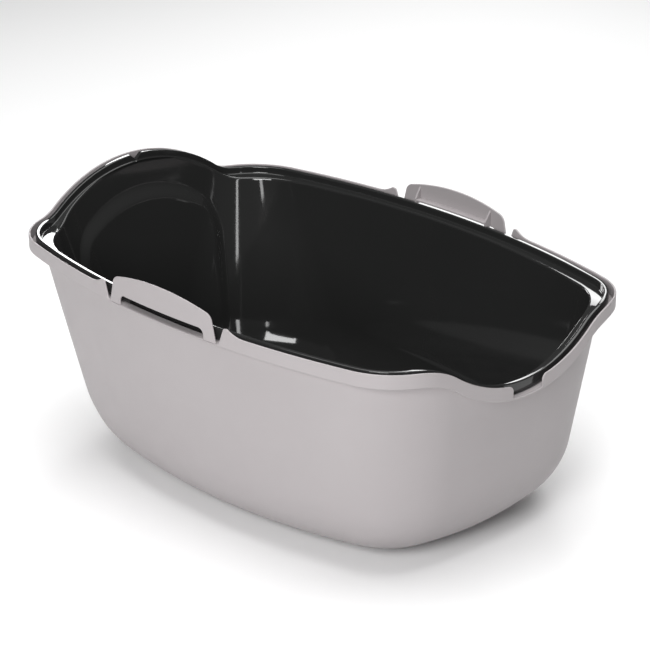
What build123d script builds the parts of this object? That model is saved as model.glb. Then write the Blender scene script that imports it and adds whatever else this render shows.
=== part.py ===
from build123d import *

import math
import os

# A free-standing oval tub for pets, in millimetres: a light outer shell, a dark
# liner pan that lifts out of it, and a spring latch on each long side.
# +X points to the low, dipped end, -X to the high, arched end, +Z is up.
# The origin is on the floor, on the centre line, midway between the latches' legs.

# ---- Rim band: the upright outer band that runs round the top of the shell.
RIM_HIGH_CORNER_X = 279.0  # where the long sides and the ends would meet if unrounded
RIM_LOW_CORNER_X = 271.8
RIM_HIGH_CORNER_Y = 160.9
RIM_LOW_CORNER_Y = 156.7
RIM_SIDE_BULGE = 42.2  # how far each side bows out past its own corners
RIM_HIGH_BULGE = 10.8
RIM_LOW_BULGE = 14.4
RIM_HIGH_RADIUS = 79.1
RIM_LOW_RADIUS = 71.9
RIM_HEIGHT = 228.5  # top of the rim along the long sides
BAND_HEIGHT = 14.0
BAND_THICK = 2.0

# ---- Rim profile: the high end arches up and the low end dips down.
ARCH_RISE = 42.1
ARCH_HALF_WIDTH = 115.4
ARCH_FOOT_RADIUS = 35.2
DIP_DEPTH = 42.3
DIP_HALF_WIDTH = 106.2
DIP_SHOULDER_RADIUS = 78.0

# ---- Shell wall: leans inwards towards a deep rounded foot.
# Each pair is (at rim height, at the floor, before the foot is rounded).
SHELL_THICK = 2.4
SHELL_FLOOR = 3.0
FOOT_RADIUS = 75.1
SHELL_SIDE_INSET = (5.5, 30.4)
SHELL_HIGH_INSET = (5.9, 38.5)
SHELL_LOW_INSET = (5.0, 42.0)
WALL_SIDE_BULGE = (42.2, 39.6)
WALL_HIGH_BULGE = (10.8, 0.5)
WALL_LOW_BULGE = (14.4, 19.1)
SHELL_HIGH_RADIUS = (99.6, 167.1)
SHELL_LOW_RADIUS = (100.5, 89.0)
FOOT_STEPS = 9  # straight-sided rings that make up the rounded foot
SMALLEST_FOOT_CORNER = 20.0
ROUNDEST_CORNER = 1.1  # largest corner radius, as a share of the end's half width
LEDGE_REACH = 40.0  # the ledge is drawn this far in, then the hollow trims it
WALL_TOP = 290.0  # walls are drawn past the rim, then trimmed to its profile

# ---- Liner pan: hangs inside the band with an open groove round it.
PAN_THICK = 2.0
PAN_EDGE_INSET = 7.0  # outer face of the pan's skirt, from the band's outer face
PAN_EDGE_LIFT = 0.3  # the pan's lip stands this far above the band
PAN_SKIRT_DROP = 11.0
PAN_LIP_WIDTH = 4.7
PAN_STEP_DROP = 7.5
PAN_STEP_REACH = 31.0  # the step is drawn this far in, then the cavity trims it
PAN_FOOT_RADIUS = 72.1
PAN_SIDE_INSET = (15.5, 34.9)
PAN_HIGH_INSET = (15.5, 43.0)
PAN_LOW_INSET = (15.5, 46.5)
PAN_HIGH_RADIUS = (82.9, 167.1)
PAN_LOW_RADIUS = (76.1, 89.0)
PAN_RECESS_INSET = 10.0  # the lip is cut back to here where the latch shelves reach in
PAN_RECESS_HALF_LENGTH = 53.0

# ---- Raised arched panel on the inside of the pan's high end.
PANEL_HALF_WIDTH = 85.5
PANEL_TOP = 223.0
PANEL_ARCH_RADIUS = 128.5
PANEL_CORNER_RADIUS = 10.5
PANEL_DEPTH = 5.0
PANEL_FOOT = 60.0
NOTCH_HALF_WIDTH = 8.0
NOTCH_DEPTH = 7.0

# ---- Finger gap in the band at the low end.
GAP_HALF_WIDTH = 19.8
GAP_CORNER_RADIUS = 5.0

# ---- Side latches, one at the middle of each long side, and the notches round them.
LATCH_FOOT_HALF_WIDTH = 76.0
LATCH_SHOULDER_HALF_WIDTH = 70.0
LATCH_SHOULDER_RISE = 14.0
LATCH_CROWN_RISE = 23.0
LATCH_SHOULDER_RADIUS = 9.0
LATCH_SLOT_HALF_WIDTH = 60.0
LATCH_SLOT_TOP_DROP = 2.0
LATCH_SLOT_RADIUS = 5.0
NOTCH_FLOOR_HALF_WIDTH = 79.5
HORN_INNER_X = 86.0
HORN_PEAK_X = 90.2
HORN_RISE = 6.0
HORN_PEAK_SLANT = 1.0  # the peak is this much lower beside the latch
HORN_OUTER_X = 112.0
HORN_SLOPE_OUT = 9.0  # a point on the hollow slope, out from the peak
HORN_SLOPE_RISE = 1.3  # and above the rim
SHELF_HALF_LENGTH = 51.0
SHELF_RISE = 3.5  # top of the hook shelf above the rim
SHELF_THICK = 2.0
SHELF_INSET = 9.5  # inner edge of the shelf, inside the recess in the pan's lip
GUSSET_THICK = 2.0
GUSSET_RISE = 17.0
GUSSET_DROP = 1.5
KNUCKLE_RADIUS = 1.1
KNUCKLE_CLEARANCE = 0.08
KNUCKLE_X = (60.3, 75.7)
GROOVE_END_PLAY = 0.3
KNUCKLE_ABOVE_LEDGE = 0.6

CUTTER_REACH = 320.0  # half-size of the tools that trim the whole tub
OVERCUT = 1.0  # how far a cut is drawn past the surface it opens
PICK_SLACK = 1.0  # margin when corners are picked by their position

LEDGE_DROP = BAND_HEIGHT - BAND_THICK  # ledge top, below the rim
LEDGE_Z = RIM_HEIGHT - LEDGE_DROP
HINGE_Z = LEDGE_Z + KNUCKLE_ABOVE_LEDGE
DIP_ARC_RADIUS = (DIP_HALF_WIDTH**2 + DIP_DEPTH**2) / (2 * DIP_DEPTH)
LEG_MID_X = (LATCH_SLOT_HALF_WIDTH + LATCH_FOOT_HALF_WIDTH) / 2


def bowed_circle(start, end, bulge):
    """Centre and radius of the arc that bows out by a bulge, left of start to end."""
    chord = Vector(*end) - Vector(*start)
    outward = Vector(-chord.Y, chord.X).normalized()
    radius = (chord.length**2 / 4 + bulge**2) / (2 * bulge)
    middle = (Vector(*start) + Vector(*end)) / 2
    return middle - outward * (radius - bulge), radius


def band_middle_y(x):
    """Half width of the tub to the middle of the band's thickness, beside the latches."""
    high_corner = (-RIM_HIGH_CORNER_X, RIM_HIGH_CORNER_Y)
    low_corner = (RIM_LOW_CORNER_X, RIM_LOW_CORNER_Y)
    centre, radius = bowed_circle(high_corner, low_corner, RIM_SIDE_BULGE)
    return centre.Y + math.sqrt((radius - BAND_THICK / 2) ** 2 - (x - centre.X) ** 2)


# The hinge line joins the middles of a latch's two legs, so it is not quite along X.
LEG_HIGH_Y = band_middle_y(-LEG_MID_X)
LEG_LOW_Y = band_middle_y(LEG_MID_X)
HINGE_TURN = math.degrees(math.atan2(LEG_LOW_Y - LEG_HIGH_Y, 2 * LEG_MID_X))


def corner_points(first, second, radius):
    """Start, middle and end of the arc that rounds two bowed sides' shared corner."""
    first_centre, first_radius = first
    second_centre, second_radius = second
    reach_first = first_radius - radius
    reach_second = second_radius - radius
    between = second_centre - first_centre
    along = (reach_first**2 - reach_second**2 + between.length**2) / (2 * between.length)
    across = math.sqrt(reach_first**2 - along**2)
    unit = between.normalized()
    outward = Vector(unit.Y, -unit.X)
    centre = first_centre + unit * along + outward * across
    start = centre + (centre - first_centre).normalized() * radius
    end = centre + (centre - second_centre).normalized() * radius
    middle = centre + ((start + end) / 2 - centre).normalized() * radius
    return start, middle, end


def oval(height, side, high, low, bulges, radii):
    """Plan outline at a height: four bowed sides, set in from the rim's corners."""
    high_corner = (-RIM_HIGH_CORNER_X + high, RIM_HIGH_CORNER_Y - side)
    low_corner = (RIM_LOW_CORNER_X - low, RIM_LOW_CORNER_Y - side)
    side_circle = bowed_circle(high_corner, low_corner, bulges[0])
    high_circle = bowed_circle((high_corner[0], -high_corner[1]), high_corner, bulges[1])
    low_circle = bowed_circle(low_corner, (low_corner[0], -low_corner[1]), bulges[2])
    high_radius = min(radii[0], ROUNDEST_CORNER * high_corner[1])
    low_radius = min(radii[1], ROUNDEST_CORNER * low_corner[1])
    high_turn = corner_points(high_circle, side_circle, high_radius)
    low_turn = corner_points(side_circle, low_circle, low_radius)
    side_middle = side_circle[0] + Vector(0, side_circle[1])
    far_side = [*high_turn, side_middle, *low_turn]
    near_side = [Vector(point.X, -point.Y) for point in reversed(far_side)]
    low_middle = Vector(low_corner[0] + bulges[2], 0)
    high_middle = Vector(high_corner[0] - bulges[1], 0)
    loop = [*far_side, low_middle, *near_side, high_middle, far_side[0]]
    with BuildSketch(Plane.XY.offset(height)) as plan:
        with BuildLine():
            for first in range(0, len(loop) - 2, 2):
                ThreePointArc(*loop[first : first + 3])
        make_face()
    return plan.sketch


def rim_oval(inset):
    """The band's outer outline, or a line parallel to it and set in."""
    bulges = (RIM_SIDE_BULGE, RIM_HIGH_BULGE, RIM_LOW_BULGE)
    outline = oval(0, 0, 0, 0, bulges, (RIM_HIGH_RADIUS, RIM_LOW_RADIUS))
    with BuildSketch() as plan:
        add(outline)
        if inset > 0:
            offset(amount=-inset, mode=Mode.REPLACE)
    return plan.sketch


def wall_loft(floor, foot_radius, thick, sides, highs, lows, high_radii, low_radii):
    """Solid tub form whose leaning wall runs down into a deep rounded foot."""
    levels = []
    for step in range(FOOT_STEPS + 1):
        angle = math.radians(90 * step / FOOT_STEPS)
        foot_inset = foot_radius * (1 - math.sin(angle))
        levels.append((floor + foot_radius * (1 - math.cos(angle)), foot_inset))
    levels.append((WALL_TOP, 0.0))
    sections = []
    for height, foot_inset in levels:
        rise = height / RIM_HEIGHT

        def at(pair):
            return pair[1] + (pair[0] - pair[1]) * rise

        inset = thick + foot_inset
        radii = [
            max(at(pair) - inset, SMALLEST_FOOT_CORNER) for pair in (high_radii, low_radii)
        ]
        bulges = (at(WALL_SIDE_BULGE), at(WALL_HIGH_BULGE), at(WALL_LOW_BULGE))
        outline = oval(height, at(sides) + inset, at(highs) + inset, at(lows) + inset, bulges, radii)
        sections.append(outline.face())
    with BuildPart() as form:
        loft(sections, ruled=True)
    return form.part


def below_rim(drop):
    """Everything under the rim's profile, lowered by a drop."""
    level = RIM_HEIGHT - drop
    reach = CUTTER_REACH
    with BuildPart() as under:
        with BuildSketch(Plane.YZ) as high_profile:
            with BuildLine():
                Line((-reach, level), (-ARCH_HALF_WIDTH, level))
                ThreePointArc(
                    (-ARCH_HALF_WIDTH, level), (0, level + ARCH_RISE), (ARCH_HALF_WIDTH, level)
                )
                Polyline(
                    (ARCH_HALF_WIDTH, level), (reach, level), (reach, -reach), (-reach, -reach),
                    (-reach, level),
                )
            make_face()
            feet = high_profile.vertices().filter_by_position(
                Axis.X, -ARCH_HALF_WIDTH - PICK_SLACK, ARCH_HALF_WIDTH + PICK_SLACK
            )
            fillet(feet, ARCH_FOOT_RADIUS)
        extrude(amount=-reach)
        with BuildSketch(Plane.YZ) as low_profile:
            with BuildLine():
                Line((-reach, level), (-DIP_HALF_WIDTH, level))
                ThreePointArc(
                    (-DIP_HALF_WIDTH, level), (0, level - DIP_DEPTH), (DIP_HALF_WIDTH, level)
                )
                Polyline(
                    (DIP_HALF_WIDTH, level), (reach, level), (reach, -reach), (-reach, -reach),
                    (-reach, level),
                )
            make_face()
            shoulders = low_profile.vertices().filter_by_position(
                Axis.X, -DIP_HALF_WIDTH - PICK_SLACK, DIP_HALF_WIDTH + PICK_SLACK
            )
            fillet(shoulders, DIP_SHOULDER_RADIUS)
        extrude(amount=reach)
    return under.part


def rim_ring(outer_inset, inner_inset, top_drop, bottom_drop):
    """A strip that follows the rim between two plan lines and two drops."""
    outer = rim_oval(outer_inset)
    inner = rim_oval(inner_inset)
    under_top = below_rim(top_drop)
    under_bottom = below_rim(bottom_drop)
    with BuildPart() as ring:
        with BuildSketch():
            add(outer)
            add(inner, mode=Mode.SUBTRACT)
        extrude(amount=CUTTER_REACH)
        add(under_top, mode=Mode.INTERSECT)
        add(under_bottom, mode=Mode.SUBTRACT)
    return ring.part


def upright_ring(outer_inset, inner_inset):
    """A plain upright strip between two plan lines, untrimmed by the rim profile."""
    outer = rim_oval(outer_inset)
    inner = rim_oval(inner_inset)
    with BuildPart() as ring:
        with BuildSketch():
            add(outer)
            add(inner, mode=Mode.SUBTRACT)
        extrude(amount=CUTTER_REACH)
    return ring.part


def knuckle_place(side, end):
    """Middle and turn of one knuckle, on the far (+1) or near (-1) side's hinge line."""
    x = end * (KNUCKLE_X[0] + KNUCKLE_X[1]) / 2
    y = (LEG_HIGH_Y + LEG_LOW_Y) / 2 + x * math.tan(math.radians(HINGE_TURN))
    return Location((x, side * y, HINGE_Z), (0, 0, side * HINGE_TURN))


# ---- Outer shell: wall, floor, ledge and band in one moulding.
shell_walls = (SHELL_SIDE_INSET, SHELL_HIGH_INSET, SHELL_LOW_INSET)
shell_corners = (SHELL_HIGH_RADIUS, SHELL_LOW_RADIUS)
shell_form = wall_loft(0, FOOT_RADIUS, 0, *shell_walls, *shell_corners)
shell_hollow = wall_loft(
    SHELL_FLOOR, FOOT_RADIUS - SHELL_THICK, SHELL_THICK, *shell_walls, *shell_corners
)
under_ledge = below_rim(LEDGE_DROP)
band = rim_ring(0, BAND_THICK, 0, BAND_HEIGHT)
ledge = rim_ring(0, LEDGE_REACH, LEDGE_DROP, BAND_HEIGHT)
band_strip = upright_ring(0, BAND_THICK)

# Small upright horns flank each latch; they are cut from the band's own strip.
with BuildPart() as horns:
    with BuildSketch(Plane.XZ) as horn_profile:
        with BuildLine():
            peak_z = RIM_HEIGHT + HORN_RISE
            horn_inner_z = peak_z - HORN_PEAK_SLANT
            foot_z = RIM_HEIGHT - BAND_HEIGHT / 2
            Line((HORN_OUTER_X, foot_z), (HORN_OUTER_X, RIM_HEIGHT))
            ThreePointArc(
                (HORN_OUTER_X, RIM_HEIGHT),
                (HORN_PEAK_X + HORN_SLOPE_OUT, RIM_HEIGHT + HORN_SLOPE_RISE),
                (HORN_PEAK_X, peak_z),
            )
            Polyline(
                (HORN_PEAK_X, peak_z), (HORN_INNER_X, horn_inner_z), (HORN_INNER_X, foot_z),
                (HORN_OUTER_X, foot_z),
            )
        make_face()
        mirror(about=Plane.YZ)
    extrude(amount=CUTTER_REACH, both=True)
    add(band_strip, mode=Mode.INTERSECT)

with BuildPart() as outer_shell:
    add(shell_form)
    add(under_ledge, mode=Mode.INTERSECT)
    add(ledge)
    add(shell_hollow, mode=Mode.SUBTRACT)
    add(band)
    add(horns.part)
    # Opening for each latch: sloping sides, open at the top, down to the ledge.
    with BuildSketch(Plane.XZ):
        with BuildLine():
            top_z = RIM_HEIGHT + 2 * HORN_RISE
            Polyline(
                (-NOTCH_FLOOR_HALF_WIDTH, LEDGE_Z), (NOTCH_FLOOR_HALF_WIDTH, LEDGE_Z),
                (HORN_INNER_X, horn_inner_z), (HORN_INNER_X, top_z), (-HORN_INNER_X, top_z),
                (-HORN_INNER_X, horn_inner_z), (-NOTCH_FLOOR_HALF_WIDTH, LEDGE_Z),
            )
        make_face()
    extrude(amount=CUTTER_REACH, both=True, mode=Mode.SUBTRACT)
    # Round grooves along the ledge take the latches' knuckles.
    for side in (-1, 1):
        for end in (-1, 1):
            groove_length = KNUCKLE_X[1] - KNUCKLE_X[0] + 2 * GROOVE_END_PLAY
            with Locations(knuckle_place(side, end)):
                Cylinder(
                    KNUCKLE_RADIUS + KNUCKLE_CLEARANCE,
                    groove_length,
                    rotation=(0, 90, 0),
                    mode=Mode.SUBTRACT,
                )
    # Finger gap at the low end, with rounded upper corners.
    with BuildSketch(Plane.YZ):
        with BuildLine():
            gap_top = RIM_HEIGHT - DIP_DEPTH + GAP_HALF_WIDTH**2 / (2 * DIP_ARC_RADIUS)
            gap_floor = RIM_HEIGHT - DIP_DEPTH - LEDGE_DROP
            turn = gap_top - GAP_CORNER_RADIUS
            bend = GAP_CORNER_RADIUS * (1 - math.cos(math.radians(45)))
            wide = GAP_HALF_WIDTH + GAP_CORNER_RADIUS
            Polyline(
                (-GAP_HALF_WIDTH, turn), (-GAP_HALF_WIDTH, gap_floor),
                (GAP_HALF_WIDTH, gap_floor), (GAP_HALF_WIDTH, turn),
            )
            ThreePointArc(
                (GAP_HALF_WIDTH, turn), (GAP_HALF_WIDTH + bend, gap_top - bend), (wide, gap_top)
            )
            Polyline((wide, gap_top), (wide, RIM_HEIGHT), (-wide, RIM_HEIGHT), (-wide, gap_top))
            ThreePointArc(
                (-wide, gap_top), (-GAP_HALF_WIDTH - bend, gap_top - bend), (-GAP_HALF_WIDTH, turn)
            )
        make_face()
    extrude(amount=CUTTER_REACH, mode=Mode.SUBTRACT)
outer_shell.part.label = "outer_shell"


# ---- Liner pan: rolled lip with a hanging skirt, a small step, and a deep dish.
pan_walls = (PAN_SIDE_INSET, PAN_HIGH_INSET, PAN_LOW_INSET)
pan_corners = (PAN_HIGH_RADIUS, PAN_LOW_RADIUS)
pan_form = wall_loft(SHELL_FLOOR, PAN_FOOT_RADIUS, 0, *pan_walls, *pan_corners)
pan_hollow = wall_loft(
    SHELL_FLOOR + PAN_THICK, PAN_FOOT_RADIUS - PAN_THICK, PAN_THICK, *pan_walls, *pan_corners
)
lip_inner = PAN_EDGE_INSET + PAN_LIP_WIDTH
under_step = below_rim(PAN_STEP_DROP)
pan_skirt = rim_ring(PAN_EDGE_INSET, PAN_EDGE_INSET + PAN_THICK, -PAN_EDGE_LIFT, PAN_SKIRT_DROP)
pan_lip = rim_ring(PAN_EDGE_INSET, lip_inner, -PAN_EDGE_LIFT, PAN_THICK - PAN_EDGE_LIFT)
pan_step_wall = rim_ring(
    lip_inner - PAN_THICK, lip_inner, -PAN_EDGE_LIFT, PAN_STEP_DROP + PAN_THICK
)
pan_step = rim_ring(
    lip_inner - PAN_THICK, PAN_STEP_REACH, PAN_STEP_DROP, PAN_STEP_DROP + PAN_THICK
)

# Strips cut out of the lip and skirt, one at the middle of each long side.
recess_strip = upright_ring(0, PAN_RECESS_INSET)
with BuildPart() as pan_recesses:
    Box(2 * PAN_RECESS_HALF_LENGTH, 2 * CUTTER_REACH, 2 * CUTTER_REACH)
    add(recess_strip, mode=Mode.INTERSECT)

# The arched panel stands proud of the high end wall, so it is left in the cavity.
with BuildPart() as panel_block:
    with BuildSketch(Plane.YZ) as panel_profile:
        with BuildLine():
            arch_drop = PANEL_ARCH_RADIUS - math.sqrt(PANEL_ARCH_RADIUS**2 - PANEL_HALF_WIDTH**2)
            corner_z = PANEL_TOP - arch_drop
            Polyline(
                (-PANEL_HALF_WIDTH, corner_z), (-PANEL_HALF_WIDTH, PANEL_FOOT),
                (PANEL_HALF_WIDTH, PANEL_FOOT), (PANEL_HALF_WIDTH, corner_z),
            )
            ThreePointArc(
                (PANEL_HALF_WIDTH, corner_z), (0, PANEL_TOP), (-PANEL_HALF_WIDTH, corner_z)
            )
        make_face()
        fillet(panel_profile.vertices().group_by(Axis.Y)[-1], PANEL_CORNER_RADIUS)
    extrude(amount=-CUTTER_REACH)
    with Locations((PANEL_DEPTH, 0, 0)):
        add(pan_hollow, mode=Mode.SUBTRACT)

with BuildPart() as pan_cavity:
    add(pan_hollow)
    add(panel_block.part, mode=Mode.SUBTRACT)

with BuildPart() as inner_pan:
    add(pan_form)
    add(under_step, mode=Mode.INTERSECT)
    add(pan_step)
    add(pan_cavity.part, mode=Mode.SUBTRACT)
    add(pan_step_wall)
    add(pan_lip)
    add(pan_skirt)
    add(pan_recesses.part, mode=Mode.SUBTRACT)
    # Small V notch in the lip at the middle of the high end.
    with BuildSketch(Plane.YZ):
        with BuildLine():
            crown = RIM_HEIGHT + ARCH_RISE + PAN_EDGE_LIFT
            above = crown + OVERCUT
            Polyline(
                (0, crown - NOTCH_DEPTH), (NOTCH_HALF_WIDTH, crown), (NOTCH_HALF_WIDTH, above),
                (-NOTCH_HALF_WIDTH, above), (-NOTCH_HALF_WIDTH, crown), (0, crown - NOTCH_DEPTH),
            )
        make_face()
    extrude(amount=-CUTTER_REACH, mode=Mode.SUBTRACT)
inner_pan.part.label = "inner_pan"


def side_latch(side):
    """Arched spring tab on two legs, with a hook shelf and gussets on its inner face."""
    shelf_strip = upright_ring(BAND_THICK / 2, SHELF_INSET)
    gusset_x = SHELF_HALF_LENGTH
    with BuildPart() as shelf:
        shelf_z = RIM_HEIGHT + SHELF_RISE - SHELF_THICK / 2
        with Locations((0, side * CUTTER_REACH / 2, shelf_z)):
            Box(2 * SHELF_HALF_LENGTH, CUTTER_REACH, SHELF_THICK)
        add(shelf_strip, mode=Mode.INTERSECT)
    with BuildPart() as latch:
        with BuildSketch(Plane.XZ) as tab_profile:
            with BuildLine():
                shoulder_z = RIM_HEIGHT + LATCH_SHOULDER_RISE
                slot_z = RIM_HEIGHT - LATCH_SLOT_TOP_DROP
                ThreePointArc(
                    (-LATCH_SHOULDER_HALF_WIDTH, shoulder_z), (0, RIM_HEIGHT + LATCH_CROWN_RISE),
                    (LATCH_SHOULDER_HALF_WIDTH, shoulder_z),
                )
                Polyline(
                    (LATCH_SHOULDER_HALF_WIDTH, shoulder_z), (LATCH_FOOT_HALF_WIDTH, HINGE_Z),
                    (LATCH_SLOT_HALF_WIDTH, HINGE_Z), (LATCH_SLOT_HALF_WIDTH, slot_z),
                    (-LATCH_SLOT_HALF_WIDTH, slot_z), (-LATCH_SLOT_HALF_WIDTH, HINGE_Z),
                    (-LATCH_FOOT_HALF_WIDTH, HINGE_Z), (-LATCH_SHOULDER_HALF_WIDTH, shoulder_z),
                )
            make_face()
            fillet(tab_profile.vertices().group_by(Axis.Y)[-1], LATCH_SHOULDER_RADIUS)
            slot_corners = tab_profile.vertices().filter_by_position(
                Axis.Y, slot_z - PICK_SLACK, slot_z + PICK_SLACK
            )
            fillet(slot_corners, LATCH_SLOT_RADIUS)
        extrude(amount=-side * CUTTER_REACH)
        add(band_strip, mode=Mode.INTERSECT)
        add(shelf.part)
        for end in (-1, 1):
            with BuildSketch(Plane.YZ.offset(end * gusset_x)):
                with BuildLine():
                    root_y = side * band_middle_y(end * gusset_x)
                    tip_y = root_y - side * (SHELF_INSET - BAND_THICK / 2)
                    foot_z = RIM_HEIGHT - GUSSET_DROP
                    Polyline(
                        (root_y, RIM_HEIGHT + GUSSET_RISE), (root_y, foot_z), (tip_y, foot_z),
                        (tip_y, RIM_HEIGHT + SHELF_RISE), (root_y, RIM_HEIGHT + GUSSET_RISE),
                    )
                make_face()
            extrude(amount=GUSSET_THICK / 2, both=True)
            with Locations(knuckle_place(side, end)):
                Cylinder(KNUCKLE_RADIUS, KNUCKLE_X[1] - KNUCKLE_X[0], rotation=(0, 90, 0))
    return latch.part


near_form = side_latch(-1)
with BuildPart() as latch_near:
    add(near_form)
latch_near.part.label = "latch_near"

far_form = side_latch(1)
with BuildPart() as latch_far:
    add(far_form)
latch_far.part.label = "latch_far"

os.makedirs("parts", exist_ok=True)
export_step(outer_shell.part, "parts/outer_shell.step")
export_step(inner_pan.part, "parts/inner_pan.step")
export_step(latch_near.part, "parts/latch_near.step")
export_step(latch_far.part, "parts/latch_far.step")
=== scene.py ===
import math

import bmesh
import bpy
import numpy as np
from mathutils import Matrix, Vector


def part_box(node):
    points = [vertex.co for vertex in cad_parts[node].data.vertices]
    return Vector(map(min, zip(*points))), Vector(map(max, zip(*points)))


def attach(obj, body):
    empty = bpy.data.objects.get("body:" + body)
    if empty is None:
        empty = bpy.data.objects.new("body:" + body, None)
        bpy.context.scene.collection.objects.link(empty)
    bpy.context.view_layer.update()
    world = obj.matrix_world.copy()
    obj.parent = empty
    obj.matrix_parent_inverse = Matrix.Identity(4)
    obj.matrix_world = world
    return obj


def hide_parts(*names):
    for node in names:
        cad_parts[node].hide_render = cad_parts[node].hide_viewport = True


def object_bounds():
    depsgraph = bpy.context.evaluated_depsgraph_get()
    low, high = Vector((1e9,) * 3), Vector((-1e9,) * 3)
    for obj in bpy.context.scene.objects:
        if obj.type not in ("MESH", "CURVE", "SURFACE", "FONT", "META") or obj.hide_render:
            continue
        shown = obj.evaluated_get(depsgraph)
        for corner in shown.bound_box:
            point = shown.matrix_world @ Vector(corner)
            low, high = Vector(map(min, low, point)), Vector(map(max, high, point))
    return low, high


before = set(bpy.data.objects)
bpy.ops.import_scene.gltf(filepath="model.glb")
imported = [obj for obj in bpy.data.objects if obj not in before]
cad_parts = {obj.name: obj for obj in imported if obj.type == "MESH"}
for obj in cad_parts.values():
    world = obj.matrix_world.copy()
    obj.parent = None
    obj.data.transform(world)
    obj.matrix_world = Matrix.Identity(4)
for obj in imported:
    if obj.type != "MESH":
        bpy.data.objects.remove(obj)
cad_low, cad_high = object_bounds()

# ---------------------------------------------------------------- sizes
# Sizes are in millimetres. The frame fixes what one millimetre is: the shell is
# SHELL_LENGTH long, and the rim is RIM_HEIGHT above the floor it stands on.
SHELL_LENGTH = 576.0
shell_low, shell_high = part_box("outer_shell")
MM = (shell_high[0] - shell_low[0]) / SHELL_LENGTH

RIM_HIGH_CORNER = (-279.0, 160.9)  # where the sides and ends would meet
RIM_LOW_CORNER = (271.8, 156.7)
RIM_BULGES = (42.2, 10.8, 14.4)  # side, high end, low end
RIM_RADII = (79.1, 71.9)  # high end, low end
ARCH_RISE = 42.1
RIM_HEIGHT = shell_high[2] / MM - ARCH_RISE
ARCH = (115.4, ARCH_RISE, 35.2)  # half width, rise, blend radius
DIP = (106.2, 42.3, 78.0)

BAND_HEIGHT = 14.0
BAND_THICK = 2.0
BAND_ROUND = 0.9
LEDGE_DROP = BAND_HEIGHT - BAND_THICK
TUCK_IN = 0.1
TUCK_UP = 0.05

WALL_SIDE_BULGE = (42.2, 39.6)  # at the rim's height, at the floor
WALL_HIGH_BULGE = (10.8, 0.5)
WALL_LOW_BULGE = (14.4, 19.1)
SMALLEST_FOOT_CORNER = 20.0
ROUNDEST_CORNER = 1.1
SHELL = dict(
    floor=0.0, foot=75.1, thick=0.0, sides=(5.5, 30.4), highs=(5.9, 38.5), lows=(5.0, 42.0),
    high_radii=(99.6, 167.1), low_radii=(100.5, 89.0),
)
SHELL_THICK = 2.4
SHELL_FLOOR = 3.0
PAN = dict(
    floor=SHELL_FLOOR, foot=72.1, thick=0.0, sides=(15.5, 34.9), highs=(15.5, 43.0),
    lows=(15.5, 46.5), high_radii=(82.9, 167.1), low_radii=(76.1, 89.0),
)
PAN_THICK = 2.0
PAN_EDGE = 7.0
PAN_LIFT = 0.3
PAN_SKIRT_DROP = 11.0
PAN_LIP = 4.7
PAN_RECESS = 10.0  # the lip is cut back to here beside the latch shelves
PAN_RECESS_X = 53.0
PAN_STEP_DROP = 7.5

PANEL = dict(half_width=97.0, top=234.5, arch=140.0, corner=22.0, bevel=11.5, depth=5.5, foot=25.0)
PANEL_TAPER = 0.10  # the panel's sides draw in by this much per millimetre of depth
PANEL_TAPER_TOP = 170.0
PANEL_SOFT = 5.0
PANEL_FOOT_RAMP = 60.0  # the panel fades out downwards over this height
PANEL_FOOT_SOFT = 20.0
NOTCH_HALF_WIDTH = 8.0
NOTCH_DEPTH = 7.0

GAP_HALF_WIDTH = 19.8
GAP_CORNER = 5.0

LATCH_FOOT_X = 76.0
LATCH_SHOULDER_X = 70.0
LATCH_SHOULDER_RISE = 14.0
LATCH_CROWN_RISE = 23.0
LATCH_SHOULDER_RADIUS = 9.0
LATCH_SLOT_X = 60.0
LATCH_SLOT_DROP = 2.0
LATCH_SLOT_RADIUS = 8.0
LATCH_ROUND = 0.9
NOTCH_FLOOR_X = 79.5
HORN_SIDE_X = 86.0
HORN_PEAK_X = 90.2
HORN_RISE = 6.0
HORN_END_X = 112.0
HORN_CURVE = 2.4  # power of the hollow slope up to the horn's peak
HORN_TIP_ROUND = 2.2
WINDOW_FOOT_ROUND = 1.8
POCKET_DEPTH = 0.45
SHELF_HALF_LENGTH = 51.0
SHELF_TOP = 3.5
SHELF_THICK = 2.0
SHELF_INSET = 9.5
GUSSET_THICK = 2.0
GUSSET_RISE = 17.0
GUSSET_DROP = 1.5
GUSSET_TIP_RISE = 0.5  # the gusset's inner edge starts this far above the shelf
SHELF_ROOT = BAND_THICK - 0.9  # shelf and gussets start inside the tab's thickness

# Sampling of the surfaces: how many rows and columns the meshes have.
RIM_SAMPLES = 1200
EVEN_SAMPLES = 24001
COLUMNS = 900
FOOT_LEVELS = 29
WALL_LEVELS = 56
WALL_TABLE_TOP = 290.0
CROSSING_PASSES = 12
FLOOR_RINGS = (0.85, 0.65, 0.45, 0.25, 0.1)
SHELL_INNER_ROWS = 30
PAN_INNER_ROWS = 90
OUTER_ROWS = 40
FINE_REACH = 12.0  # columns are this close together about the V notch
FINE_STEP = 0.5
CUT_MARGIN = 1.2  # no plain column this close to an end of the lip's recesses
CUT_STEPS = np.array([-0.6, -0.05, 0.05, 0.6])
BAND_STEP = 2.0
WELD = 1e-7  # metres


# ---------------------------------------------------------------- plan curves
def bowed_circle(start, end, bulge):
    """Centre and radius of the arc that bows out by a bulge, left of start to end."""
    start, end = np.array(start), np.array(end)
    chord = end - start
    length = np.hypot(*chord)
    outward = np.array([-chord[1], chord[0]]) / length
    radius = (length**2 / 4 + bulge**2) / (2 * bulge)
    return (start + end) / 2 - outward * (radius - bulge), radius


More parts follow.
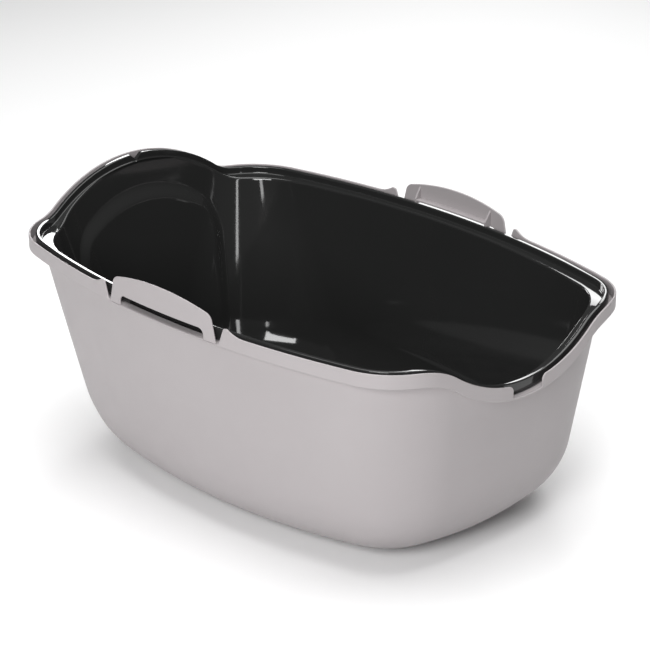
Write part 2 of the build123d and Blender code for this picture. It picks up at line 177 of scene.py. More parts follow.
def corner_circle(first, second, radius):
    """Centre of the arc that rounds two bowed sides' corner, and where it meets them."""
    (c1, r1), (c2, r2) = first, second
    between = c2 - c1
    gap = np.hypot(*between)
    along = ((r1 - radius) ** 2 - (r2 - radius) ** 2 + gap**2) / (2 * gap)
    across = math.sqrt((r1 - radius) ** 2 - along**2)
    unit = between / gap
    centre = c1 + unit * along + np.array([unit[1], -unit[0]]) * across
    start = centre + (centre - c1) / np.hypot(*(centre - c1)) * radius
    end = centre + (centre - c2) / np.hypot(*(centre - c2)) * radius
    return centre, start, end


def arc(centre, start, end, count):
    """Points along the shorter arc from start towards end, without the last one."""
    a = math.atan2(*(start - centre)[::-1])
    b = math.atan2(*(end - centre)[::-1])
    turn = (b - a + math.pi) % (2 * math.pi) - math.pi
    angles = a + turn * np.arange(count) / count
    radius = np.hypot(*(start - centre))
    return centre + radius * np.stack([np.cos(angles), np.sin(angles)], 1)


def outline(side, high, low, bulges, radii, count=400):
    """Closed plan outline from the middle of the high end, round by the far side."""
    high_corner = np.array([RIM_HIGH_CORNER[0] + high, RIM_HIGH_CORNER[1] - side])
    low_corner = np.array([RIM_LOW_CORNER[0] - low, RIM_LOW_CORNER[1] - side])
    flip = np.array([1, -1])
    side_circle = bowed_circle(high_corner, low_corner, bulges[0])
    high_circle = bowed_circle(high_corner * flip, high_corner, bulges[1])
    low_circle = bowed_circle(low_corner, low_corner * flip, bulges[2])
    high_radius = min(radii[0], ROUNDEST_CORNER * high_corner[1])
    low_radius = min(radii[1], ROUNDEST_CORNER * low_corner[1])
    high_centre, h1, h2 = corner_circle(high_circle, side_circle, high_radius)
    low_centre, l1, l2 = corner_circle(side_circle, low_circle, low_radius)
    high_mid = np.array([high_corner[0] - bulges[1], 0.0])
    low_mid = np.array([low_corner[0] + bulges[2], 0.0])
    half = np.concatenate([
        arc(high_circle[0], high_mid, h1, count),
        arc(high_centre, h1, h2, count),
        arc(side_circle[0], h2, l1, 2 * count),
        arc(low_centre, l1, l2, count),
        arc(low_circle[0], l2, low_mid, count),
    ])
    return np.concatenate([half, [low_mid], half[:0:-1] * flip])


rim_line = outline(0, 0, 0, RIM_BULGES, RIM_RADII, RIM_SAMPLES)
closed_line = np.concatenate([rim_line, rim_line[:1]])
rim_run = np.concatenate([[0], np.cumsum(np.hypot(*np.diff(closed_line, axis=0).T))])
RIM_LENGTH = rim_run[-1]
even_run = np.linspace(0, RIM_LENGTH, EVEN_SAMPLES)
even_line = np.stack([np.interp(even_run, rim_run, closed_line[:, k]) for k in (0, 1)], 1)
tangent = np.roll(even_line[:-1], -1, 0) - np.roll(even_line[:-1], 1, 0)
tangent /= np.hypot(*tangent.T)[:, None]
even_normal = np.stack([-tangent[:, 1], tangent[:, 0]], 1)
even_normal = np.concatenate([even_normal, even_normal[:1]])


def rim_at(run):
    """Point and outward normal on the rim's outer line, at a distance along it."""
    run = np.mod(run, RIM_LENGTH)
    point = np.stack([np.interp(run, even_run, even_line[:, k]) for k in (0, 1)], -1)
    normal = np.stack([np.interp(run, even_run, even_normal[:, k]) for k in (0, 1)], -1)
    return point, normal


RUN_LOW = RIM_LENGTH / 2
far_half = even_run[:-1] < RUN_LOW
RUN_FAR = even_run[:-1][far_half][np.argmin(np.abs(even_line[:-1][far_half, 0]))]
RUN_NEAR = RIM_LENGTH - RUN_FAR


def bump_profile(y, half_width, rise, blend):
    """Height of a circular hump over a flat line, with blended feet."""
    radius = (half_width**2 + rise**2) / (2 * rise)
    centre = rise - radius
    blend_y = math.sqrt((radius + blend) ** 2 - (blend - centre) ** 2)
    meet = blend_y * radius / (radius + blend)
    y = np.abs(y)
    hump = centre + np.sqrt(np.maximum(radius**2 - y**2, 0))
    foot = blend - np.sqrt(np.maximum(blend**2 - np.clip(blend_y - y, 0, blend) ** 2, 0))
    return np.where(y < meet, hump, np.where(y < blend_y, foot, 0.0))


def rim_height(x, y):
    """Height of the rim's top over the floor."""
    return RIM_HEIGHT + np.where(x < 0, bump_profile(y, *ARCH), -bump_profile(y, *DIP))


# ---------------------------------------------------------------- walls
def wall_table(directions, floor, foot, thick, sides, highs, lows, high_radii, low_radii):
    """Distance of a leaning wall from the tub's axis, by height and by direction."""
    angles = np.linspace(0, math.pi / 2, FOOT_LEVELS)
    levels = [(floor + foot * (1 - math.cos(a)), foot * (1 - math.sin(a))) for a in angles]
    levels += [(z, 0.0) for z in np.linspace(floor + foot, WALL_TABLE_TOP, WALL_LEVELS)[1:]]
    table = []
    for height, foot_inset in levels:
        rise = height / RIM_HEIGHT
        at = lambda pair: pair[1] + (pair[0] - pair[1]) * rise
        inset = thick + foot_inset
        line = outline(
            at(sides) + inset, at(highs) + inset, at(lows) + inset,
            (at(WALL_SIDE_BULGE), at(WALL_HIGH_BULGE), at(WALL_LOW_BULGE)),
            [max(at(r) - inset, SMALLEST_FOOT_CORNER) for r in (high_radii, low_radii)],
        )
        angle = np.arctan2(line[:, 1], line[:, 0])
        order = np.argsort(angle)
        reach = np.interp(directions, angle[order], np.hypot(*line.T)[order], period=2 * math.pi)
        table.append(reach)
    return np.array([z for z, _ in levels]), np.array(table)


def wall_row(table, directions, heights):
    """Points on the wall in each direction, at heights given per direction."""
    levels, reach = table
    index = np.clip(np.searchsorted(levels, heights) - 1, 0, len(levels) - 2)
    share = (heights - levels[index]) / (levels[index + 1] - levels[index])
    column = np.arange(len(directions))
    radius = reach[index, column] * (1 - share) + reach[index + 1, column] * share
    return np.stack([radius * np.cos(directions), radius * np.sin(directions), heights], 1)


def wall_top(table, directions, drop):
    """Where a wall crosses the rim's profile lowered by a drop."""
    heights = np.full(len(directions), RIM_HEIGHT - drop)
    for _ in range(CROSSING_PASSES):
        row = wall_row(table, directions, heights)
        heights = rim_height(row[:, 0], row[:, 1]) - drop
    return wall_row(table, directions, heights)


def wall_rows(table, directions, top, steps):
    """Rows from just under a top row down to the flat of the foot."""
    levels = table[0]
    foot_levels = levels[:FOOT_LEVELS][::-1]
    rows = []
    for step in range(1, steps):
        share = step / steps
        rows.append(wall_row(table, directions, top[:, 2] * (1 - share) + foot_levels[0] * share))
    for height in foot_levels:
        rows.append(wall_row(table, directions, np.full(len(directions), height)))
    return rows


def floor_rows(edge):
    """Rings that shrink from a flat row to its middle."""
    middle = np.array([edge[:, 0].mean(), 0, edge[0, 2]])
    return [middle + (edge - middle) * share for share in FLOOR_RINGS], middle


def rim_row(run, inset, drop):
    """A row that follows the rim, set in from the band's outer face and lowered."""
    point, normal = rim_at(run)
    plan = point - normal * np.reshape(inset, (-1, 1))
    return np.column_stack([plan, rim_height(plan[:, 0], plan[:, 1]) - drop])


# ---------------------------------------------------------------- mesh helpers
def mesh_object(name, vertices, faces, sharp_angle=35):
    mesh = bpy.data.meshes.new(name)
    mesh.from_pydata([tuple(v * MM) for v in vertices], [], faces)
    work = bmesh.new()
    work.from_mesh(mesh)
    bmesh.ops.remove_doubles(work, verts=work.verts, dist=WELD)
    bmesh.ops.recalc_face_normals(work, faces=work.faces)
    for face in work.faces:
        face.smooth = True
    limit = math.radians(sharp_angle)
    for edge in work.edges:
        if len(edge.link_faces) == 2 and edge.calc_face_angle(0) > limit:
            edge.smooth = False
    work.to_mesh(mesh)
    work.free()
    obj = bpy.data.objects.new(name, mesh)
    bpy.context.scene.collection.objects.link(obj)
    return obj


def tube_faces(rows, columns, closed_rows=False, closed_columns=True, start=0):
    """Quads between neighbouring rows of a grid."""
    faces = []
    row_pairs = range(rows if closed_rows else rows - 1)
    column_pairs = range(columns if closed_columns else columns - 1)
    for r in row_pairs:
        a, b = r * columns, (r + 1) % rows * columns
        for c in column_pairs:
            d = (c + 1) % columns
            faces.append((start + a + c, start + a + d, start + b + d, start + b + c))
    return faces


def closed_vessel(name, rows, first_pole, last_pole):
    """A closed skin of rows round the tub, shut at both ends by a pole."""
    columns = len(rows[0])
    vertices = np.concatenate(rows + [[first_pole], [last_pole]])
    faces = tube_faces(len(rows), columns)
    first, last = len(vertices) - 2, len(vertices) - 1
    tail = (len(rows) - 1) * columns
    for c in range(columns):
        d = (c + 1) % columns
        faces.append((first, d, c))
        faces.append((last, tail + c, tail + d))
    return mesh_object(name, vertices, faces)


def unit2(v):
    return v / np.maximum(np.hypot(v[:, 0], v[:, 1]), 1e-9)[:, None]


def line_normals(line, closed):
    """Unit normals to the right of a 2-D line's direction."""
    if closed:
        along = np.roll(line, -1, 0) - np.roll(line, 1, 0)
        along[0] = line[1] - line[0]
        along[-1] = line[-1] - line[-2]
    else:
        along = np.gradient(line, axis=0)
    along = unit2(along)
    return np.stack([along[:, 1], -along[:, 0]], 1)


def plate(top, bottom, rounding, bottom_rounding, thick, run_middle, closed):
    """Rounded plate between two matched lines drawn as (run, height), bent round the rim."""
    top_in = line_normals(top, closed)
    bottom_in = -line_normals(bottom, closed)
    loops = []

    def add(line, inward, radius, angle, back):
        offset = radius * (1 - math.sin(angle))
        depth = radius * (1 - math.cos(angle))
        flat = line + inward * offset
        point, normal = rim_at(run_middle + flat[:, 0])
        plan = point - normal * ((thick - depth) if back else depth)
        loops.append(np.column_stack([plan, flat[:, 1]]))

    quarter = np.linspace(0, math.pi / 2, 5)
    for angle in quarter:
        add(top, top_in, rounding, angle, False)
    for angle in quarter[::-1]:
        add(top, top_in, rounding, angle, True)
    for angle in quarter:
        add(bottom, bottom_in, bottom_rounding, angle, True)
    for angle in quarter[::-1]:
        add(bottom, bottom_in, bottom_rounding, angle, False)
    rows, columns = len(loops), len(top)
    faces = tube_faces(rows, columns, closed_rows=True, closed_columns=closed)
    if not closed:
        faces.append([r * columns for r in range(rows)][::-1])
        faces.append([r * columns + columns - 1 for r in range(rows)])
    return np.concatenate(loops), faces


def join_parts(name, parts):
    """One object from several (vertices, faces) sets."""
    vertices, faces, start = [], [], 0
    for part_vertices, part_faces in parts:
        vertices.append(part_vertices)
        faces += [[i + start for i in face] for face in part_faces]
        start += len(part_vertices)
    return mesh_object(name, np.concatenate(vertices), faces)


def round_corner(line, corner, reach):
    """Rounds a sampled line at one of its points, keeping the number of samples."""
    run = np.concatenate([[0], np.cumsum(np.hypot(*np.diff(line, axis=0).T))])
    middle = run[corner]
    at = lambda s: np.array([np.interp(s, run, line[:, k]) for k in (0, 1)])
    a, c = at(middle - reach), at(middle + reach)
    b = line[corner]
    result = line.copy()
    for k in np.nonzero(np.abs(run - middle) < reach)[0]:
        t = (run[k] - middle + reach) / (2 * reach)
        result[k] = a * (1 - t) ** 2 + 2 * b * t * (1 - t) + c * t**2
    return result


# ---------------------------------------------------------------- outer shell
def shell_runs():
    """Distances along the rim at which the shell and the pan have a column."""
    runs = np.arange(0, RIM_LENGTH, RIM_LENGTH / COLUMNS)
    near_notch = np.arange(-FINE_REACH, FINE_REACH + FINE_STEP / 50, FINE_STEP) % RIM_LENGTH
    clear = FINE_REACH + FINE_STEP
    keep = (runs > clear) & (runs < RIM_LENGTH - clear)
    recess_ends = []
    for middle in (RUN_FAR, RUN_NEAR):
        for end in (-PAN_RECESS_X, PAN_RECESS_X):
            keep &= np.abs(runs - middle - end) > CUT_MARGIN
            recess_ends.append(middle + end + CUT_STEPS)
    return np.sort(np.concatenate([runs[keep], near_notch, *recess_ends]))


runs = shell_runs()
rim_points, _ = rim_at(runs)
directions = np.arctan2(rim_points[:, 1], rim_points[:, 0])


def build_shell_body():
    """Wall, rounded foot, floor and ledge, without the upright band."""
    outside = wall_table(directions, **SHELL)
    hollow = dict(SHELL, floor=SHELL_FLOOR, foot=SHELL["foot"] - SHELL_THICK, thick=SHELL_THICK)
    inside = wall_table(directions, **hollow)
    # The ledge's root is tucked a little inside the band, so that no crack shows.
    tuck = BAND_THICK - TUCK_IN
    under = rim_row(runs, tuck, BAND_HEIGHT - TUCK_UP)
    outer_top = wall_top(outside, directions, BAND_HEIGHT)
    inner_top = wall_top(inside, directions, LEDGE_DROP)
    ledge_top = rim_row(runs, tuck, LEDGE_DROP)
    inner = wall_rows(inside, directions, inner_top, SHELL_INNER_ROWS)
    outer = wall_rows(outside, directions, outer_top, OUTER_ROWS)
    inner_floor, inner_pole = floor_rows(inner[-1])
    outer_floor, outer_pole = floor_rows(outer[-1])
    rows = (inner + inner_floor)[::-1] + [inner_top, ledge_top, under, outer_top]
    rows += outer + outer_floor
    return closed_vessel("outer_shell_body", rows, inner_pole, outer_pole)


def latch_window_top():
    """Band's top line round one latch, as (distance from the latch's middle, rise)."""
    rise_x = np.linspace(HORN_END_X, HORN_PEAK_X, 24)
    share = (HORN_END_X - rise_x) / (HORN_END_X - HORN_PEAK_X)
    horn = np.column_stack([rise_x, HORN_RISE * share**HORN_CURVE])
    crest = np.array([[HORN_SIDE_X + 0.2, HORN_RISE - 0.1]])
    side_z = np.linspace(HORN_RISE - 0.6, -LEDGE_DROP, 26)
    side_share = (HORN_RISE - side_z) / (HORN_RISE + LEDGE_DROP)
    side = np.column_stack([HORN_SIDE_X - (HORN_SIDE_X - NOTCH_FLOOR_X) * side_share, side_z])
    pocket = -LEDGE_DROP - POCKET_DEPTH
    sill = [
        (78.0, -LEDGE_DROP), (77.0, -LEDGE_DROP), (76.6, pocket), (76.0, pocket),
        (70.0, pocket), (64.0, pocket), (60.0, pocket), (59.4, pocket), (59.0, -LEDGE_DROP),
        (58.0, -LEDGE_DROP),
    ]
    sill += [(x, -LEDGE_DROP) for x in np.arange(54.0, 1.0, -4.0)]
    half = np.concatenate([horn, crest, side, np.array(sill)])
    crest_at = len(horn)
    half = round_corner(half, crest_at, HORN_TIP_ROUND)
    half = round_corner(half, crest_at + len(side), WINDOW_FOOT_ROUND)
    return np.concatenate([half * np.array([-1, 1]), half[::-1]])


def gap_top():
    """Band's top line round the finger gap at the low end."""
    shoulder = np.linspace(0, math.pi / 2, 9)
    round_top = np.column_stack([
        GAP_HALF_WIDTH + GAP_CORNER - GAP_CORNER * np.sin(shoulder),
        -GAP_CORNER + GAP_CORNER * np.cos(shoulder),
    ])
    side = np.column_stack([
        GAP_HALF_WIDTH - 0.02 * np.arange(1, 8), np.linspace(-GAP_CORNER - 1, -LEDGE_DROP, 7)
    ])
    floor = [(x, -LEDGE_DROP) for x in np.arange(GAP_HALF_WIDTH - 1.2, 0.5, -2.0)]
    half = np.concatenate([round_top, side, np.array(floor)])
    half = round_corner(half, len(round_top) + len(side) - 1, 0.9)
    return np.concatenate([half * np.array([-1, 1]), half[::-1]])


def build_band():
    """Upright rim band with the latch windows, their horns and the finger gap."""
    features = [
        (RUN_FAR, latch_window_top()), (RUN_NEAR, latch_window_top()), (RUN_LOW, gap_top()),
    ]
    plain = np.arange(0, RIM_LENGTH, BAND_STEP)
    for middle, line in features:
        plain = plain[np.abs(plain - middle) > line[:, 0].max() + 1.0]
    pieces = [np.column_stack([plain, np.zeros(len(plain))])]
    pieces += [line + np.array([middle, 0]) for middle, line in features]
    line = np.concatenate(pieces)
    line = line[np.argsort(line[:, 0], kind="stable")]
    point, _ = rim_at(line[:, 0])
    height = rim_height(point[:, 0], point[:, 1])
    top = np.column_stack([line[:, 0], height + line[:, 1]])
    bottom = np.column_stack([line[:, 0], height - BAND_HEIGHT])
    vertices, faces = plate(top, bottom, BAND_ROUND, BAND_ROUND, BAND_THICK, 0.0, True)
    return mesh_object("outer_shell_band", vertices, faces)


# ---------------------------------------------------------------- liner pan
def soft_ramp(distance, width, soft):
    """0 to 1 over a width, with its two bends eased over a soft distance."""
    def area(x):
        inside = np.clip(x, 0, width)
        return inside**2 / (2 * width) + np.maximum(x - width, 0)
    return (area(distance + soft / 2) - area(distance - soft / 2)) / soft


def panel_lift(y, z):
    """How far the raised panel stands in from the high end wall."""
    p = PANEL
    centre_z = p["top"] - p["arch"]
    to_arch = p["arch"] - np.hypot(y, z - centre_z)
    drawn_in = PANEL_TAPER * np.maximum(PANEL_TAPER_TOP - z, 0)
    to_side = p["half_width"] - drawn_in - np.abs(y)
    # The arch and the sides meet in a rounded corner.
    a = np.maximum(p["corner"] - to_arch, 0)
    b = np.maximum(p["corner"] - to_side, 0)
    corner = p["corner"] - np.hypot(a, b)
    inside = np.where((a > 0) & (b > 0), corner, np.minimum(to_arch, to_side))
    above_foot = z - p["foot"]
    lift = soft_ramp(inside, p["bevel"], PANEL_SOFT) * soft_ramp(above_foot, PANEL_FOOT_RAMP, PANEL_FOOT_SOFT)
    return p["depth"] * lift


def quarter_turn(inset, drop, radius, start, end, count=6):
    """(inset, drop) points of a rounding about a centre, between two angles in degrees."""
    angles = np.radians(np.linspace(start, end, count))
    return [(inset + radius * math.cos(a), drop - radius * math.sin(a)) for a in angles]


def build_pan():
    outside = wall_table(directions, **PAN)
    hollow = dict(PAN, floor=SHELL_FLOOR + PAN_THICK, foot=PAN["foot"] - PAN_THICK, thick=PAN_THICK)
    inside = wall_table(directions, **hollow)
    lip_in = PAN_EDGE + PAN_LIP
    outer_round, inner_round, step_round = 1.1, 1.3, 1.6
    inner_cut, outer_cut = 0.4, 0.5
    skin = [
        (PAN_EDGE + PAN_THICK, PAN_SKIRT_DROP - inner_cut),
        (PAN_EDGE + PAN_THICK - inner_cut, PAN_SKIRT_DROP),
    ]
    skin += [(PAN_EDGE + outer_cut, PAN_SKIRT_DROP), (PAN_EDGE, PAN_SKIRT_DROP - outer_cut)]
    skin += [(PAN_EDGE, PAN_SKIRT_DROP / 2)]
    top = -PAN_LIFT
    skin += quarter_turn(PAN_EDGE + outer_round, top + outer_round, outer_round, 180, 90)
    skin += [(PAN_EDGE + PAN_LIP / 2, top)]
    skin += quarter_turn(lip_in - inner_round, top + inner_round, inner_round, 90, 0)
    skin += quarter_turn(lip_in + step_round, PAN_STEP_DROP - step_round, step_round, 180, 270)
    point, _ = rim_at(runs)
    at_high = point[:, 0] < 0
    v_cut = np.where(at_high, NOTCH_DEPTH * (1 - np.abs(point[:, 1]) / NOTCH_HALF_WIDTH), -1e3)
    rim_rows = []
    to_latch = np.minimum(np.abs(runs - RUN_FAR), np.abs(runs - RUN_NEAR))
    recessed = to_latch < PAN_RECESS_X
    for inset, drop in skin:
        row = rim_row(runs, np.where(recessed, max(inset, PAN_RECESS), inset), drop)
        limit = rim_height(row[:, 0], row[:, 1]) + PAN_LIFT - v_cut
        row[:, 2] = np.where(v_cut > 0, np.minimum(row[:, 2], limit), row[:, 2])
        rim_rows.append(row)
    corner = wall_top(inside, directions, PAN_STEP_DROP)
    turn = 2.2
    step_edge = rim_rows[-1]
    away = step_edge - corner
    a = corner + away * (turn / np.linalg.norm(away, axis=1))[:, None]
    c = wall_row(inside, directions, corner[:, 2] - turn)
    bend = [a * (1 - t) ** 2 + 2 * corner * t * (1 - t) + c * t**2 for t in np.linspace(0, 1, 6)]
    inner = wall_rows(inside, directions, c, PAN_INNER_ROWS)
    for row in inner:
        high = row[:, 0] < 0
        row[:, 0] += np.where(high, panel_lift(row[:, 1], row[:, 2]), 0)
    inner_floor, inner_pole = floor_rows(inner[-1])
    under = []
    for inset, drop in (
        (PAN_EDGE + PAN_THICK, PAN_THICK - PAN_LIFT), (lip_in - PAN_THICK, PAN_THICK - PAN_LIFT),
        (lip_in - PAN_THICK, PAN_STEP_DROP + PAN_THICK),
    ):
        row = rim_row(runs, np.where(recessed, max(inset, PAN_RECESS), inset), drop)
        limit = rim_height(row[:, 0], row[:, 1]) + PAN_LIFT - v_cut - PAN_THICK
        row[:, 2] = np.where(v_cut > 0, np.minimum(row[:, 2], limit), row[:, 2])
        under.append(row)
    outer_top = wall_top(outside, directions, PAN_STEP_DROP + PAN_THICK)
    outer = wall_rows(outside, directions, outer_top, OUTER_ROWS)
    outer_floor, outer_pole = floor_rows(outer[-1])
    rows = (inner + inner_floor)[::-1] + bend[::-1] + rim_rows[::-1]
    rows += under + [outer_top] + outer + outer_floor
    return closed_vessel("inner_pan_liner", rows, inner_pole, outer_pole)


# ---------------------------------------------------------------- latches
def latch_lines():
    """Outer and inner edge of the latch, matched point by point from foot to foot."""
    foot = RIM_HEIGHT - LEDGE_DROP
    shoulder = RIM_HEIGHT + LATCH_SHOULDER_RISE
    hump = LATCH_CROWN_RISE - LATCH_SHOULDER_RISE
    radius = (LATCH_SHOULDER_X**2 + hump**2) / (2 * hump)
    leg, crown = 26, 80
    share = np.linspace(0, 1, leg + 1)[:, None]
    left = np.array([-LATCH_FOOT_X, foot]) * (1 - share) + np.array([-LATCH_SHOULDER_X, shoulder]) * share
    x = np.linspace(-LATCH_SHOULDER_X, LATCH_SHOULDER_X, crown + 1)[1:-1]
    arch = np.column_stack([x, shoulder + hump - radius + np.sqrt(radius**2 - x**2)])
    outer = np.concatenate([left, arch, left[::-1] * np.array([-1, 1])])
    slot = RIM_HEIGHT - LATCH_SLOT_DROP
    inner_left = np.array([-LATCH_SLOT_X, foot]) * (1 - share) + np.array([-LATCH_SLOT_X, slot]) * share
    inner_x = x / LATCH_SHOULDER_X * LATCH_SLOT_X
    inner_arch = np.column_stack([inner_x, np.full(len(inner_x), slot)])
    inner = np.concatenate([inner_left, inner_arch, inner_left[::-1] * np.array([-1, 1])])
    for corner in (leg, len(outer) - 1 - leg):
        outer = round_corner(outer, corner, 0.75 * LATCH_SHOULDER_RADIUS)
        inner = round_corner(inner, corner, 0.9 * LATCH_SLOT_RADIUS)
    return outer, inner


def bent_block(run_middle, x_values, section):
    """A strip of constant section, (inset, height) points, bent round the rim."""
    point, normal = rim_at(run_middle + x_values)
    loops = []
    for inset, height in section:
        plan = point - normal * inset
        loops.append(np.column_stack([plan, np.full(len(plan), height)]))
    rows, columns = len(loops), len(x_values)
    faces = tube_faces(rows, columns, closed_rows=True, closed_columns=False)
    faces.append([r * columns for r in range(rows)][::-1])
    faces.append([r * columns + columns - 1 for r in range(rows)])
    return np.concatenate(loops), faces


def soft_section(points, cut):
    """Cuts the corners of a section so that its edges catch the light."""
    points = np.array(points, float)
    result = []
    for k, p in enumerate(points):
        before, after = points[k - 1], points[(k + 1) % len(points)]
        to_before = (before - p) / np.hypot(*(before - p)) * cut
        to_after = (after - p) / np.hypot(*(after - p)) * cut
        middle = p + 0.25 * (to_before + to_after)
        result += [p + to_before, middle, p + to_after]
    return result


def build_latch(name, run_middle):
    """Arched tab on two legs, with a hook shelf and two gussets on its inner face."""
    outer, inner = latch_lines()
    parts = [plate(outer, inner, LATCH_ROUND, LATCH_ROUND, BAND_THICK, run_middle, False)]
    shelf_x = np.linspace(-SHELF_HALF_LENGTH, SHELF_HALF_LENGTH, 52)
    shelf_top = RIM_HEIGHT + SHELF_TOP
    section = soft_section(
        [
            (SHELF_ROOT, shelf_top), (SHELF_INSET, shelf_top),
            (SHELF_INSET, shelf_top - SHELF_THICK), (SHELF_ROOT, shelf_top - SHELF_THICK),
        ],
        0.4,
    )
    parts.append(bent_block(run_middle, shelf_x, section))
    for end in (-1, 1):
        middle_x = end * SHELF_HALF_LENGTH
        gusset = soft_section(
            [
                (SHELF_ROOT, RIM_HEIGHT + GUSSET_RISE), (SHELF_INSET, shelf_top + GUSSET_TIP_RISE),
                (SHELF_INSET, RIM_HEIGHT - GUSSET_DROP), (SHELF_ROOT, RIM_HEIGHT - GUSSET_DROP),
            ],
            0.35,
        )
        half = GUSSET_THICK / 2
        parts.append(bent_block(run_middle, middle_x + np.array([-half, half]), gusset))
    return join_parts(name, parts)


shell_body = build_shell_body()
shell_band = build_band()
pan = build_pan()
near = build_latch("latch_near_tab", RUN_NEAR)
far = build_latch("latch_far_tab", RUN_FAR)


# ---------------------------------------------------------------- materials
def noise(nodes, links, coordinates, scale, detail=3.0, roughness=0.5):
    node = nodes.new("ShaderNodeTexNoise")
    node.inputs["Scale"].default_value = scale
    node.inputs["Detail"].default_value = detail
    node.inputs["Roughness"].default_value = roughness
    links.new(coordinates, node.inputs["Vector"])
    return node.outputs["Fac"]


def remap(nodes, links, value, low, high):
    node = nodes.new("ShaderNodeMapRange")
    node.inputs["From Min"].default_value = 0.25
    node.inputs["From Max"].default_value = 0.75
    node.inputs["To Min"].default_value = low
    node.inputs["To Max"].default_value = high
    links.new(value, node.inputs["Value"])
    return node.outputs["Result"]


def bump(nodes, links, height, strength, distance, normal=None):
    node = nodes.new("ShaderNodeBump")
    node.inputs["Strength"].default_value = strength
    node.inputs["Distance"].default_value = distance
    links.new(height, node.inputs["Height"])
    if normal is not None:
        links.new(normal, node.inputs["Normal"])
    return node.outputs["Normal"]


def colour_mix(nodes, links, factor, first, second):
    node = nodes.new("ShaderNodeMix")
    node.data_type = "RGBA"
    links.new(factor, node.inputs["Factor"])
    node.inputs["A"].default_value = (*first, 1)
    node.inputs["B"].default_value = (*second, 1)
    return node.outputs["Result"]


def matte_plastic():
    """Light warm grey moulded plastic with a fine spark-eroded grain."""
    material = bpy.data.materials.new("shell_plastic")
    material.use_nodes = True
    nodes, links = material.node_tree.nodes, material.node_tree.links
    shader = nodes["Principled BSDF"]
    place = nodes.new("ShaderNodeTexCoord").outputs["Object"]
    broad = noise(nodes, links, place, 9.0)
    tint = colour_mix(nodes, links, broad, (0.335, 0.311, 0.316), (0.358, 0.334, 0.340))
    links.new(tint, shader.inputs["Base Color"])
    grain = noise(nodes, links, place, 1500.0, 4.0, 0.6)
    patches = noise(nodes, links, place, 40.0)
    links.new(remap(nodes, links, patches, 0.44, 0.54), shader.inputs["Roughness"])
    fine = bump(nodes, links, grain, 0.28, 0.00025)
    links.new(bump(nodes, links, patches, 0.05, 0.0006, fine), shader.inputs["Normal"])
    shader.inputs["Specular IOR Level"].default_value = 0.42
    return material


def gloss_plastic():
    """Polished charcoal plastic, a little uneven from the mould, with faint rubbed haze."""
    material = bpy.data.materials.new("pan_plastic")
    material.use_nodes = True
    nodes, links = material.node_tree.nodes, material.node_tree.links
    shader = nodes["Principled BSDF"]
    place = nodes.new("ShaderNodeTexCoord").outputs["Object"]
    broad = noise(nodes, links, place, 7.0)
    tint = colour_mix(nodes, links, broad, (0.0155, 0.0157, 0.0155), (0.0195, 0.0197, 0.0195))
    links.new(tint, shader.inputs["Base Color"])
    haze = noise(nodes, links, place, 30.0, 5.0, 0.6)
    links.new(remap(nodes, links, haze, 0.045, 0.085), shader.inputs["Roughness"])
    ripple = noise(nodes, links, place, 14.0, 1.5)
    links.new(bump(nodes, links, ripple, 0.06, 0.002), shader.inputs["Normal"])
    shader.inputs["Specular IOR Level"].default_value = 0.5
    return material


shell_plastic = matte_plastic()
pan_plastic = gloss_plastic()
for piece in (shell_body, shell_band, near, far):
    piece.data.materials.append(shell_plastic)
pan.data.materials.append(pan_plastic)
for piece in (shell_band, near, far):
    weighted = piece.modifiers.new("even_shading", "WEIGHTED_NORMAL")
    weighted.keep_sharp = True

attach(shell_body, "shell")
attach(shell_band, "shell")
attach(pan, "pan")
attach(near, "near_latch")
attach(far, "far_latch")
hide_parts("outer_shell")
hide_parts("inner_pan")
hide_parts("latch_near")
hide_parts("latch_far")

# ---------------------------------------------------------------- floor, light, camera
world = bpy.data.worlds.new("studio")
world.use_nodes = True
world.node_tree.nodes["Background"].inputs["Color"].default_value = (1, 1, 1, 1)
world.node_tree.nodes["Background"].inputs["Strength"].default_value = 0.09
bpy.context.scene.world = world
bpy.context.scene.view_settings.view_transform = "Standard"

floor_mesh = bpy.data.meshes.new("floor")
FLOOR_REACH = 12.0
FLOOR_GAP = 0.0002  # keeps the floor from lying in the shell's own underside
floor_mesh.from_pydata(
    [(-FLOOR_REACH, -FLOOR_REACH, 0), (FLOOR_REACH, -FLOOR_REACH, 0), (FLOOR_REACH, FLOOR_REACH, 0),
     (-FLOOR_REACH, FLOOR_REACH, 0)], [], [(0, 1, 2, 3)],
)
floor = bpy.data.objects.new("floor", floor_mesh)
bpy.context.scene.collection.objects.link(floor)
floor.location.z = cad_low.z - FLOOR_GAP
paper = bpy.data.materials.new("paper")
paper.use_nodes = True
paper.node_tree.nodes["Principled BSDF"].inputs["Base Color"].default_value = (0.95, 0.95, 0.95, 1)
paper.node_tree.nodes["Principled BSDF"].inputs["Roughness"].default_value = 0.9
paper.node_tree.nodes["Principled BSDF"].inputs["Specular IOR Level"].default_value = 0.1
floor_mesh.materials.append(paper)


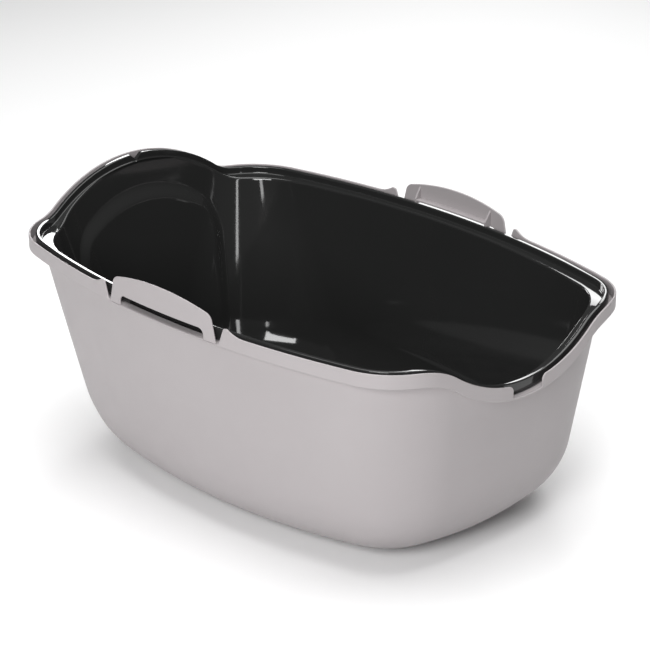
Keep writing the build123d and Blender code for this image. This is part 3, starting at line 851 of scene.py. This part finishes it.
def softbox(name, place, aim, width, height, power):
    light = bpy.data.lights.new(name, "AREA")
    light.shape = "RECTANGLE"
    light.size, light.size_y, light.energy = width, height, power
    obj = bpy.data.objects.new(name, light)
    bpy.context.scene.collection.objects.link(obj)
    obj.location = place
    obj.rotation_mode = "QUATERNION"
    obj.rotation_quaternion = (Vector(aim) - Vector(place)).to_track_quat("-Z", "Y")
    return obj


def gleam(name, place, aim, width, height, power):
    """A light seen only in glossy reflections, for the bright streaks on the pan."""
    card = softbox(name, place, aim, width, height, power)
    card.visible_diffuse = False
    card.visible_camera = False


MIDDLE = (0, 0, 0.15)
softbox("overhead", (0.0, 0.1, 2.2), MIDDLE, 2.4, 2.4, 60)
softbox("near_box", (1.3, -2.4, 1.45), MIDDLE, 1.4, 1.2, 72)
softbox("back_strip", (-1.2, 1.6, 1.3), MIDDLE, 0.35, 1.3, 9)
gleam("long_streak", (2.05, -0.82, 0.81), (-0.245, 0.112, 0.17), 0.12, 1.02, 3.2)
gleam("short_streak", (1.15, -1.91, 0.6), (-0.232, 0.138, 0.19), 0.16, 0.8, 3.0)
gleam("lip_card", (-0.74, 0.34, 0.53), (-0.2, -0.17, 0.23), 0.25, 0.2, 1.9)

# The camera looks down on the low end's near corner from far off.
CAMERA_AZIMUTH = math.radians(46.7506)
CAMERA_ELEVATION = math.radians(22.1792)
CAMERA_PLACE = Vector((1.65890, -1.54782, 1.08254))
CAMERA_LENS = 135.868
right = Vector((math.cos(CAMERA_AZIMUTH), math.sin(CAMERA_AZIMUTH), 0))
back = Vector((
    math.sin(CAMERA_AZIMUTH) * math.cos(CAMERA_ELEVATION),
    -math.cos(CAMERA_AZIMUTH) * math.cos(CAMERA_ELEVATION),
    math.sin(CAMERA_ELEVATION),
))
up = back.cross(right)
camera_data = bpy.data.cameras.new("camera")
camera_data.lens = CAMERA_LENS
camera_data.sensor_width = 36.0
camera_data.clip_end = 100.0
camera = bpy.data.objects.new("camera", camera_data)
camera.matrix_world = Matrix.Translation(CAMERA_PLACE) @ Matrix((right, up, back)).transposed().to_4x4()
bpy.context.scene.collection.objects.link(camera)
bpy.context.scene.camera = camera
